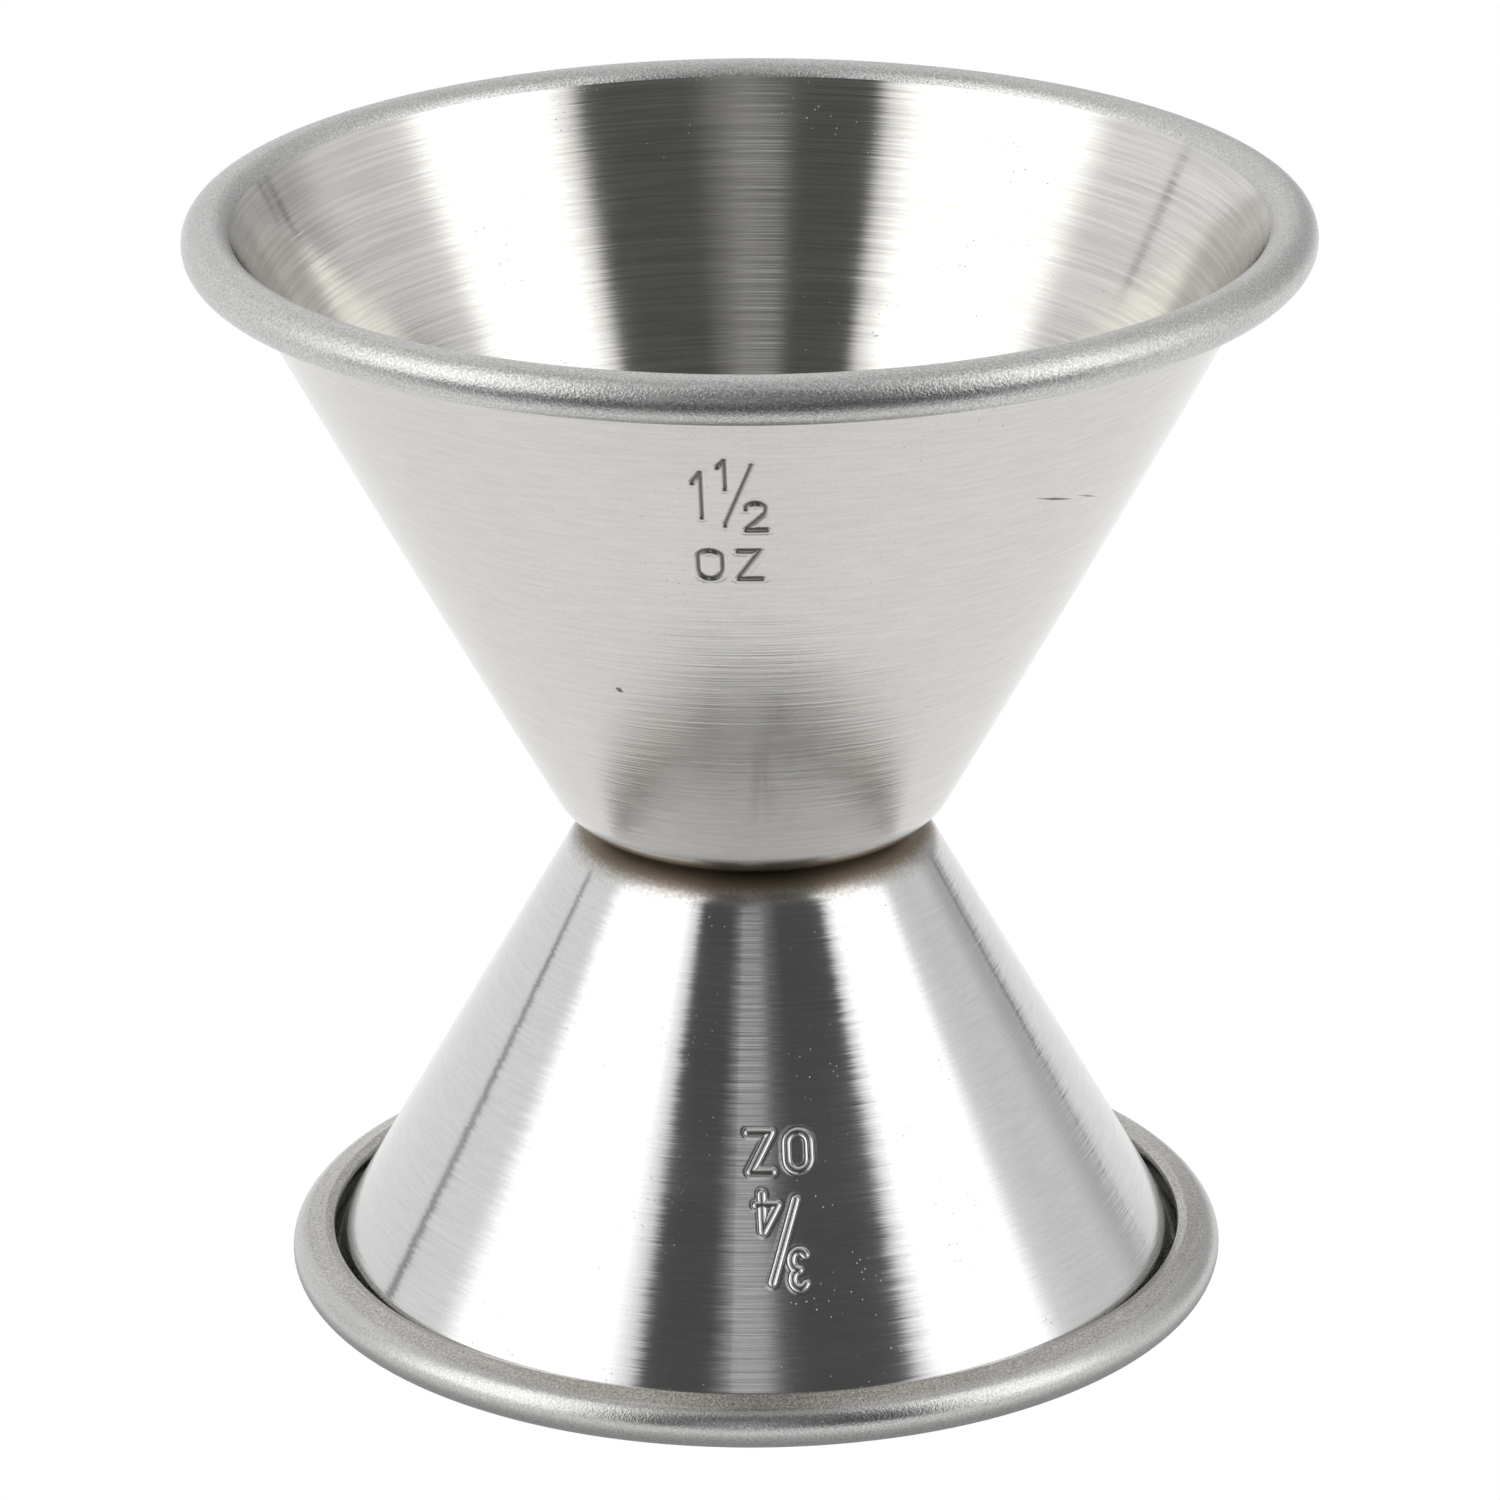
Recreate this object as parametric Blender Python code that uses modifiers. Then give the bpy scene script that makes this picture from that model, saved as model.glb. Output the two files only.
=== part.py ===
"""Bar jigger: two cups of pressed stainless sheet, spot-welded base to base.

Metres, +Z up. The jigger stands on the small cup's rolled rim. Its origin is the
centre of that rim's resting face, and +Z is the axis of both cups.
"""

import math
from dataclasses import dataclass

import bmesh
import bpy
from mathutils import Matrix

MM = 0.001


@dataclass(frozen=True)
class CupSizes:
    """Outside sizes of one cup, standing upright on its own base."""

    rim_diameter: float  # over the rolled rim
    base_diameter: float  # of the flat base, where the bend up to the wall starts
    height: float  # underside of the base to the top of the rim
    bend_radius: float  # outside of the bend between base and wall
    roll_height: float  # of the rolled rim, from top to bottom
    roll_flat: float  # width of the flat on top of the rolled rim
    roll_turn: float  # degrees that the sheet turns after that flat
    lip: float  # straight sheet at the free edge of the roll


# Driving dimensions
LARGE_CUP = CupSizes(
    rim_diameter=62.7 * MM,
    base_diameter=15.6 * MM,
    height=36.0 * MM,
    bend_radius=4.0 * MM,
    roll_height=2.6 * MM,
    roll_flat=0.2 * MM,
    roll_turn=218.0,
    lip=0.1 * MM,
)
SMALL_CUP = CupSizes(
    rim_diameter=53.5 * MM,
    base_diameter=17.6 * MM,
    height=26.9 * MM,
    bend_radius=2.0 * MM,
    roll_height=2.6 * MM,
    roll_flat=0.2 * MM,
    roll_turn=160.0,
    lip=1.0 * MM,
)
SHEET = 0.6 * MM
JOINT_GAP = 0.3 * MM  # between the two bases, which touch on the real object

# Spot welds between the bases
WELD_COUNT = 3
WELD_CIRCLE_DIAMETER = 9.0 * MM
WELD_DIAMETER = 3.0 * MM
WELD_CLEARANCE = 0.3 * MM  # between a nugget and the metal it fuses with
WELD_SKIN = 0.25 * MM  # sheet left between a weld pocket and the inside of a cup
WELD_EDGE_ROUND = 0.05 * MM

# How finely the round shapes are divided
TURN_STEPS = 48
BEND_SEGMENTS = 5
SHOULDER_SEGMENTS = 4
ROLL_SEGMENTS = 12
WELD_SIDES = 20

STEEL_COLOUR = (0.62, 0.62, 0.60, 1.0)
WELD_COLOUR = (0.45, 0.42, 0.38, 1.0)
MERGE_DISTANCE = 0.00001


def clear_scene():
    """Remove every object of the scene."""
    for thing in list(bpy.data.objects):
        bpy.data.objects.remove(thing, do_unlink=True)


def make_collection(name):
    """Add a collection to the scene."""
    collection = bpy.data.collections.new(name)
    bpy.context.scene.collection.children.link(collection)
    return collection


def metal(name, colour, roughness):
    """Make a plain metal material."""
    material = bpy.data.materials.new(name)
    material.use_nodes = True
    shader = material.node_tree.nodes["Principled BSDF"]
    shader.inputs["Base Color"].default_value = colour
    shader.inputs["Metallic"].default_value = 1.0
    shader.inputs["Roughness"].default_value = roughness
    return material


def arc(centre, radius, start, end, segments):
    """Points along an arc, with its two ends, from angle start to angle end in degrees."""
    points = []
    for step in range(segments + 1):
        angle = math.radians(start + (end - start) * step / segments)
        points.append((centre[0] + radius * math.cos(angle), centre[1] + radius * math.sin(angle)))
    return points


def wall_direction(bend_centre, bend_radius, roll_centre, roll_radius):
    """Angle of the wall above the level, in degrees.

    The wall is the straight line that leaves the base bend on the outside of the bend's
    circle and meets the rolled rim on the inside of the roll's circle.
    """
    across = roll_centre[0] - bend_centre[0]
    up = roll_centre[1] - bend_centre[1]
    turn = math.asin((bend_radius + roll_radius) / math.hypot(across, up))
    return math.degrees(math.atan2(up, across) + turn)


def sheet_section(cup):
    """Middle line of a cup's sheet, from the centre of its base to its free edge."""
    half_sheet = SHEET / 2
    bend_radius = cup.bend_radius - half_sheet
    roll_radius = cup.roll_height / 2 - half_sheet
    bend_centre = (cup.base_diameter / 2, half_sheet + bend_radius)
    roll_centre = ((cup.rim_diameter - cup.roll_height) / 2, cup.height - cup.roll_height / 2)
    shoulder_centre = (roll_centre[0] - cup.roll_flat, roll_centre[1])
    wall = wall_direction(bend_centre, bend_radius, shoulder_centre, roll_radius)

    points = [(0.0, half_sheet)]
    points += arc(bend_centre, bend_radius, -90.0, wall - 90.0, BEND_SEGMENTS)
    points += arc(shoulder_centre, roll_radius, wall + 90.0, 90.0, SHOULDER_SEGMENTS)
    points += arc(roll_centre, roll_radius, 90.0, 90.0 - cup.roll_turn, ROLL_SEGMENTS)
    heading = math.radians(-cup.roll_turn)
    last = points[-1]
    points.append((last[0] + cup.lip * math.cos(heading), last[1] + cup.lip * math.sin(heading)))
    return points


def make_cup(name, cup, collection, material):
    """Turn a cup's section about its axis and give the sheet its thickness."""
    mesh = bpy.data.meshes.new(name)
    section = bmesh.new()
    corners = [section.verts.new((radius, 0.0, height)) for radius, height in sheet_section(cup)]
    for lower, upper in zip(corners, corners[1:]):
        section.edges.new((lower, upper))
    section.to_mesh(mesh)
    section.free()
    mesh.materials.append(material)

    body = bpy.data.objects.new(name, mesh)
    collection.objects.link(body)
    screw = body.modifiers.new("turn", "SCREW")
    screw.axis = "Z"
    screw.angle = math.tau
    screw.steps = TURN_STEPS
    screw.render_steps = TURN_STEPS
    screw.use_merge_vertices = True
    screw.merge_threshold = MERGE_DISTANCE
    screw.use_smooth_shade = True
    thickness = body.modifiers.new("sheet", "SOLIDIFY")
    thickness.thickness = SHEET
    thickness.offset = 0.0
    thickness.use_even_offset = True
    return body


def make_disc(name, diameter, height, centre, collection, material=None):
    """Make an upright cylinder about a centre point."""
    mesh = bpy.data.meshes.new(name)
    disc = bmesh.new()
    bmesh.ops.create_cone(
        disc,
        cap_ends=True,
        segments=WELD_SIDES,
        radius1=diameter / 2,
        radius2=diameter / 2,
        depth=height,
    )
    disc.to_mesh(mesh)
    disc.free()
    if material is not None:
        mesh.materials.append(material)
    body = bpy.data.objects.new(name, mesh)
    body.location = centre
    collection.objects.link(body)
    return body


def weld_centres():
    """Centres of the spot welds, midway between the two bases."""
    height = SMALL_CUP.height + JOINT_GAP / 2
    centres = []
    for number in range(WELD_COUNT):
        angle = math.tau * (number / WELD_COUNT + 0.25)
        radius = WELD_CIRCLE_DIAMETER / 2
        centres.append((radius * math.cos(angle), radius * math.sin(angle), height))
    return centres


def make_weld_pocket(number, centre, collection):
    """Make the cutter that hollows both bases around one weld nugget."""
    diameter = WELD_DIAMETER + 2 * WELD_CLEARANCE
    height = JOINT_GAP + 2 * (SHEET - WELD_SKIN)
    pocket = make_disc(f"weld_pocket_{number}", diameter, height, centre, collection)
    pocket.hide_render = True
    pocket.display_type = "WIRE"
    return pocket


def make_weld_nugget(number, centre, collection, material):
    """Make one nugget of fused metal, which fills its pocket less the clearance."""
    height = JOINT_GAP + 2 * (SHEET - WELD_SKIN - WELD_CLEARANCE)
    nugget = make_disc(f"weld_nugget_{number}", WELD_DIAMETER, height, centre, collection, material)
    edge = nugget.modifiers.new("edge", "BEVEL")
    edge.width = WELD_EDGE_ROUND
    edge.segments = 1
    edge.limit_method = "ANGLE"
    nugget.data.shade_smooth()
    nugget.data.set_sharp_from_angle(angle=math.radians(40.0))
    return nugget


def cut(body, pocket):
    """Cut a pocket out of a cup's base."""
    boolean = body.modifiers.new(pocket.name, "BOOLEAN")
    boolean.operation = "DIFFERENCE"
    boolean.solver = "EXACT"
    boolean.object = pocket


def build():
    """Build the whole jigger."""
    clear_scene()
    parts = make_collection("bar_jigger")
    cutters = make_collection("cutters")
    steel = metal("brushed_steel", STEEL_COLOUR, 0.3)
    weld = metal("weld_metal", WELD_COLOUR, 0.5)

    small_cup = make_cup("small_cup", SMALL_CUP, parts, steel)
    small_cup.matrix_world = Matrix.Translation((0.0, 0.0, SMALL_CUP.height)) @ Matrix.Rotation(math.pi, 4, "X")
    large_cup = make_cup("large_cup", LARGE_CUP, parts, steel)
    large_cup.location = (0.0, 0.0, SMALL_CUP.height + JOINT_GAP)

    for number, centre in enumerate(weld_centres(), start=1):
        pocket = make_weld_pocket(number, centre, cutters)
        for cup in (small_cup, large_cup):
            cut(cup, pocket)
        make_weld_nugget(number, centre, parts, weld)


build()
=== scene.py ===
"""Looks of a bar jigger: two cups pressed from stainless sheet and spot-welded base to base.

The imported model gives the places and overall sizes. Each cup is drawn here again as a bent
sheet with its real thickness, rolled rim, cut edge and stamped capacity mark, and the welds
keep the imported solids.
"""

import logging
import math
from collections.abc import Iterator
from dataclasses import dataclass, field
from enum import Enum

import bmesh
import bpy
from mathutils import Matrix, Vector


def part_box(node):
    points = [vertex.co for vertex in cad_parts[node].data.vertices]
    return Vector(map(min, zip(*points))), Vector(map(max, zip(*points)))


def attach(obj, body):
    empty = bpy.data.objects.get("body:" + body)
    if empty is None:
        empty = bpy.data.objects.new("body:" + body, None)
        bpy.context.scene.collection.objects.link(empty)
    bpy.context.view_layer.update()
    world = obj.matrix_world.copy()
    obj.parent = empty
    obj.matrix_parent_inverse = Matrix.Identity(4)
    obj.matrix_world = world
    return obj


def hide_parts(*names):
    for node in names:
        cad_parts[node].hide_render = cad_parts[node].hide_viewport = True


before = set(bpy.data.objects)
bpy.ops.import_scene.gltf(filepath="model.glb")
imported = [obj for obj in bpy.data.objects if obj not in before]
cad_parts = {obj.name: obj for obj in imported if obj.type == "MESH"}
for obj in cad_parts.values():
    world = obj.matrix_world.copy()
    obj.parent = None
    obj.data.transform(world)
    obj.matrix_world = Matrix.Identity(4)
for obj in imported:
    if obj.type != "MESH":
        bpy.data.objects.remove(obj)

LOG = logging.getLogger("bar_jigger")
MM = 0.001
MERGE_DISTANCE = 0.002 * MM

Point = tuple[float, float]
Stroke = list[Point]
Socket = bpy.types.NodeSocket
Value = float | tuple[float, ...] | Socket


# ---------------------------------------------------------------------------------------
# Sheet metal
# ---------------------------------------------------------------------------------------


class Zone(Enum):
    """Part of a cup's surface, numbered as its material slot."""

    INSIDE = 0
    OUTSIDE = 1
    ROLL = 2
    EDGE = 3


class SheetPath:
    """Walks round a section of bent sheet in the XZ plane and leaves vertices behind it."""

    def __init__(self, mesh: bmesh.types.BMesh, start: Vector) -> None:
        """Start walking towards +X.

        Args:
            mesh: Mesh that the section is drawn in.
            start: First point of the section.
        """
        self.mesh = mesh
        self.zone = Zone.INSIDE
        self.heading = 0.0
        self.walked = 0.0
        self.along_layer = mesh.verts.layers.float.new("along")
        self.zone_layer = mesh.verts.layers.int.new("zone")
        self.tip = mesh.verts.new(start)

    def _step_to(self, tip: bmesh.types.BMVert, length: float) -> None:
        """Note the new tip, how far it is along the section and the zone that led to it."""
        self.tip = tip
        self.walked += length
        tip[self.along_layer] = self.walked
        tip[self.zone_layer] = self.zone.value

    def run(self, length: float, cuts: int = 1) -> None:
        """Walk straight on.

        Args:
            length: How far to walk.
            cuts: Into how many edges the stretch is divided.
        """
        stride = length / cuts
        forward = Vector((math.cos(self.heading), 0.0, math.sin(self.heading))) * stride
        for _ in range(cuts):
            made = bmesh.ops.extrude_vert_indiv(self.mesh, verts=[self.tip])
            bmesh.ops.translate(self.mesh, verts=made["verts"], vec=forward)
            self._step_to(made["verts"][0], stride)

    def bend(self, degrees: float, radius: float, steps: int) -> None:
        """Walk round a bend.

        Args:
            degrees: Turn to the left, or to the right where it is negative.
            radius: Radius of the bend.
            steps: Into how many edges the bend is divided.
        """
        turn = math.radians(degrees) / steps
        side = math.copysign(radius, degrees)
        left = Vector((-math.sin(self.heading), 0.0, math.cos(self.heading)))
        centre = self.tip.co + left * side
        for _ in range(steps):
            made = bmesh.ops.spin(
                self.mesh, geom=[self.tip], cent=centre, axis=(0.0, -1.0, 0.0), angle=turn, steps=1
            )
            tip = next(item for item in made["geom_last"] if isinstance(item, bmesh.types.BMVert))
            self._step_to(tip, abs(turn) * radius)
        self.heading += math.radians(degrees)

    def bowed(self, stretches: list[tuple[float, int]], bow: float) -> None:
        """Walk along a wall that is bowed to one side of its straight line.

        Args:
            stretches: Length of each stretch and into how many edges it is divided.
            bow: Degrees that the wall turns from end to end, to the left.
        """
        whole = sum(length for length, _ in stretches)
        self.heading -= math.radians(bow / 2)
        for length, cuts in stretches:
            turn = math.radians(bow * length / whole / cuts)
            for _ in range(cuts):
                self.heading += turn / 2
                self.run(length / cuts)
                self.heading += turn / 2
        self.heading -= math.radians(bow / 2)


@dataclass(frozen=True)
class FreeEdge:
    """How the sheet ends at the free edge of a rolled rim."""

    burr: float = 0.04 * MM  # radius of the corners that the cutting tool leaves
    ridge: float = 0.0  # degrees that the sheet turns where the lip starts
    slant: float = 0.0  # degrees that the cut face leans over, seen along the sheet
    face: float = 0.0  # width of that leaning face


@dataclass(frozen=True)
class SheetSizes:
    """Outside sizes of one cup, standing upright on its own base."""

    base_diameter: float  # of the flat base
    bend_radius: float  # outside of the bend between base and wall
    roll_height: float  # of the rolled rim
    roll_flat: float  # width of the flat on top of the rim
    roll_turn: float  # degrees that the sheet turns after that flat
    lip: float  # straight sheet at the free edge
    free_edge: FreeEdge
    bow: float = 0.0  # degrees that the wall turns from foot to rim, because pressing leaves it bowed
    sheet: float = 0.6 * MM


# ---------------------------------------------------------------------------------------
# Stamped marks
# ---------------------------------------------------------------------------------------


CELL_WIDTH = 0.6  # of a character that is 1 high


def arc_stroke(centre: Point, radius: float, start: float, end: float, steps: int = 10) -> Stroke:
    """Points along an arc.

    Args:
        centre: Centre of the arc.
        radius: Its radius.
        start: Angle of its first point, in degrees.
        end: Angle of its last point, in degrees.
        steps: Into how many pieces it is divided.

    Returns:
        The arc's points, with both ends.
    """
    angles = [math.radians(start + (end - start) * step / steps) for step in range(steps + 1)]
    return [(centre[0] + radius * math.cos(a), centre[1] + radius * math.sin(a)) for a in angles]


def character(name: str) -> list[Stroke]:
    """Strokes of one plain punch, in a cell CELL_WIDTH wide and 1 high.

    Args:
        name: The figure, letter or slash that the punch stamps.

    Returns:
        Each stroke as a list of points.
    """
    punches = {
        "1": [[(0.12, 0.78), (0.34, 1.0), (0.34, 0.0)]],
        "2": [arc_stroke((0.3, 0.71), 0.28, 165.0, -35.0) + [(0.02, 0.0), (0.6, 0.0)]],
        "3": [
            arc_stroke((0.28, 0.76), 0.24, 150.0, -90.0),
            arc_stroke((0.28, 0.26), 0.26, 90.0, -150.0),
        ],
        "4": [[(0.44, 0.0), (0.44, 1.0), (0.0, 0.3), (0.6, 0.3)]],
        "O": [
            arc_stroke((0.3, 0.7), 0.3, 0.0, 180.0)
            + arc_stroke((0.3, 0.3), 0.3, 180.0, 360.0)
            + [(0.6, 0.7)]
        ],
        "Z": [[(0.02, 1.0), (0.58, 1.0), (0.02, 0.0), (0.6, 0.0)]],
        "/": [[(0.0, 0.0), (0.6, 1.0)]],
    }
    return punches[name]


@dataclass(frozen=True)
class Punch:
    """One character of a mark and where it is struck, from the mark's centre."""

    name: str
    left: float
    foot: float
    width: float
    height: float

    def strokes(self) -> list[Stroke]:
        """The character's strokes, at their size and place."""
        return [
            [(self.left + x / CELL_WIDTH * self.width, self.foot + y * self.height) for x, y in stroke]
            for stroke in character(self.name)
        ]


@dataclass(frozen=True)
class StampedMark:
    """A capacity stamped into the outside of a wall."""

    azimuth: float  # degrees from the front, to the right as the cup stands upright
    middle: float  # height of its centre above the cup's base
    width: float
    height: float
    punches: tuple[Punch, ...]
    stroke_width: float = 0.38 * MM
    depth: float = 0.15 * MM
    raised: float = 0.02 * MM  # metal pushed up beside a stroke
    reach: float = 0.2 * MM  # of the relief past the mark's width and height
    margin: float = 0.3 * MM  # of finely divided wall past them

    def segments(self) -> list[tuple[Vector, Vector]]:
        """Every straight piece of every stroke."""
        pairs = []
        for punch in self.punches:
            for stroke in punch.strokes():
                points = [Vector(point) for point in stroke]
                pairs += list(zip(points, points[1:]))
        return pairs

    def nearest(self, place: Vector, segments: list[tuple[Vector, Vector]]) -> float:
        """Distance from a place on the wall to the middle of the nearest stroke.

        Args:
            place: Distance round and up the wall from the mark's centre.
            segments: The mark's pieces of stroke.

        Returns:
            The distance.
        """
        best = self.width
        for start, end in segments:
            line = end - start
            share = max(0.0, min(1.0, (place - start).dot(line) / line.length_squared))
            best = min(best, (place - start - line * share).length)
        return best

    def profile(self, distance: float) -> float:
        """Depth of the stamped wall at a distance from a stroke's middle."""
        half = self.stroke_width / 2
        if distance < half:
            rise = distance / half
            return -self.depth * (1.0 - rise * rise * (3.0 - 2.0 * rise))
        if distance < 2.0 * half:
            return self.raised * math.sin(math.pi * (distance - half) / half)
        return 0.0


def fraction(whole: str, top: str, bottom: str, middle: float) -> tuple[Punch, ...]:
    """Lay out a capacity such as 1 1/2, with a slanted bar.

    Args:
        whole: The whole number, or nothing.
        top: The fraction's upper figure.
        bottom: Its lower figure.
        middle: Height of the row's middle.

    Returns:
        The punches of the row.
    """
    shift = 0.65 * MM if whole else 0.0
    row = [
        Punch(top, -1.35 * MM + shift, middle + 0.55 * MM, 1.0 * MM, 2.1 * MM),
        Punch("/", -0.85 * MM + shift, middle - 2.3 * MM, 1.5 * MM, 4.6 * MM),
        Punch(bottom, 0.2 * MM + shift, middle - 2.65 * MM, 1.15 * MM, 2.1 * MM),
    ]
    if whole:
        row.append(Punch(whole, -2.1 * MM, middle - 1.7 * MM, 1.2 * MM, 3.4 * MM))
    return tuple(row)


def unit(foot: float) -> tuple[Punch, ...]:
    """The unit's two letters, on a line at a height."""
    size = (1.3 * MM, 2.2 * MM)
    return Punch("O", -1.75 * MM, foot, *size), Punch("Z", 0.35 * MM, foot, *size)


# ---------------------------------------------------------------------------------------
# Node graphs
# ---------------------------------------------------------------------------------------


class Graph:
    """Adds nodes to a tree and joins them, in short calls."""

    def __init__(self, tree: bpy.types.NodeTree) -> None:
        """Write in a tree.

        Args:
            tree: A material's, a world's or a group's tree.
        """
        self.tree = tree

    def feed(self, socket: Socket, value: Value) -> None:
        """Join a socket to another, or set its own value."""
        if isinstance(value, Socket):
            self.tree.links.new(value, socket)
        else:
            socket.default_value = value

    def node(
        self, kind: str, inputs: dict[str | int, Value] | None = None, **settings: object
    ) -> bpy.types.Node:
        """Add a node.

        Args:
            kind: The node's type, without ShaderNode.
            inputs: What its sockets get, by name or number.
            settings: The node's own settings.

        Returns:
            The node.
        """
        made = self.tree.nodes.new(f"ShaderNode{kind}")
        for name, value in settings.items():
            setattr(made, name, value)
        for name, value in (inputs or {}).items():
            self.feed(made.inputs[name], value)
        return made

    def math(self, operation: str, *values: Value, clamp: bool = False) -> Socket:
        """Work out a number from others."""
        inputs = dict(enumerate(values))
        return self.node("Math", inputs, operation=operation, use_clamp=clamp).outputs[0]

    def plus(self, first: Value, second: Value) -> Socket:
        """Add two numbers."""
        return self.math("ADD", first, second)

    def minus(self, first: Value, second: Value) -> Socket:
        """Take the second number from the first."""
        return self.math("SUBTRACT", first, second)

    def times(self, first: Value, second: Value) -> Socket:
        """Multiply two numbers."""
        return self.math("MULTIPLY", first, second)

    def over(self, first: Value, second: Value) -> Socket:
        """Divide the first number by the second."""
        return self.math("DIVIDE", first, second)

    def split(self, vector: Value) -> list[Socket]:
        """Split a vector into X, Y and Z."""
        return list(self.node("SeparateXYZ", {0: vector}).outputs)

    def place(self) -> Socket:
        """Object coordinates."""
        return self.node("TexCoord").outputs["Object"]

    def reach(self, place: list[Socket]) -> Socket:
        """Distance of a place from the Z axis."""
        squares = (self.math("POWER", along, 2.0) for along in place[:2])
        return self.math("SQRT", self.plus(*squares))

    def azimuth(self, place: list[Socket]) -> Socket:
        """Angle of a place round the Z axis from the front, to the right, in radians."""
        return self.math("ARCTAN2", place[0], self.times(place[1], -1.0))

    def ramp(self, value: Value, low: float, high: float, start: Value = 0.0, end: Value = 1.0) -> Socket:
        """Go smoothly from start to end as a value goes from low to high."""
        inputs = {"Value": value, "From Min": low, "From Max": high, "To Min": start, "To Max": end}
        return self.node("MapRange", inputs, interpolation_type="SMOOTHSTEP").outputs[0]

    def mix(self, share: Value, first: Value, second: Value) -> Socket:
        """Mix two colours."""
        made = self.node("Mix", {0: share, 6: first, 7: second}, data_type="RGBA")
        return made.outputs[2]

    def vector(self, operation: str, inputs: dict[int, Value]) -> Socket:
        """Work out a vector from others."""
        return self.node("VectorMath", inputs, operation=operation).outputs[0]

    def noise(self, vector: Value, scale: Value, detail: float, roughness: float, **extra: Value) -> Socket:
        """Noise from 0 to 1, in four dimensions where a fourth coordinate w is given."""
        inputs = {"Vector": vector, "Scale": scale, "Detail": detail, "Roughness": roughness}
        if "w" in extra:
            inputs["W"] = extra["w"]
        return self.node("TexNoise", inputs, noise_dimensions="4D" if "w" in extra else "3D").outputs[0]

    def group(self, tree: bpy.types.NodeTree, **values: Value) -> bpy.types.Node:
        """Place a node group and feed its inputs by name."""
        made = self.tree.nodes.new("ShaderNodeGroup")
        made.node_tree = tree
        for name, value in values.items():
            self.feed(made.inputs[name], value)
        return made


def new_group(
    name: str, inputs: dict[str, float], outputs: tuple[str, ...]
) -> tuple[Graph, bpy.types.Node, bpy.types.Node]:
    """Start a shader node group.

    Args:
        name: The group's name.
        inputs: Its number inputs and their usual values.
        outputs: Its number outputs.

    Returns:
        The graph to write in, the group's input node and its output node.
    """
    tree = bpy.data.node_groups.new(name, "ShaderNodeTree")
    for label, usual in inputs.items():
        socket = tree.interface.new_socket(label, in_out="INPUT", socket_type="NodeSocketFloat")
        socket.default_value = usual
    for label in outputs:
        tree.interface.new_socket(label, in_out="OUTPUT", socket_type="NodeSocketFloat")
    return Graph(tree), tree.nodes.new("NodeGroupInput"), tree.nodes.new("NodeGroupOutput")


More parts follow.
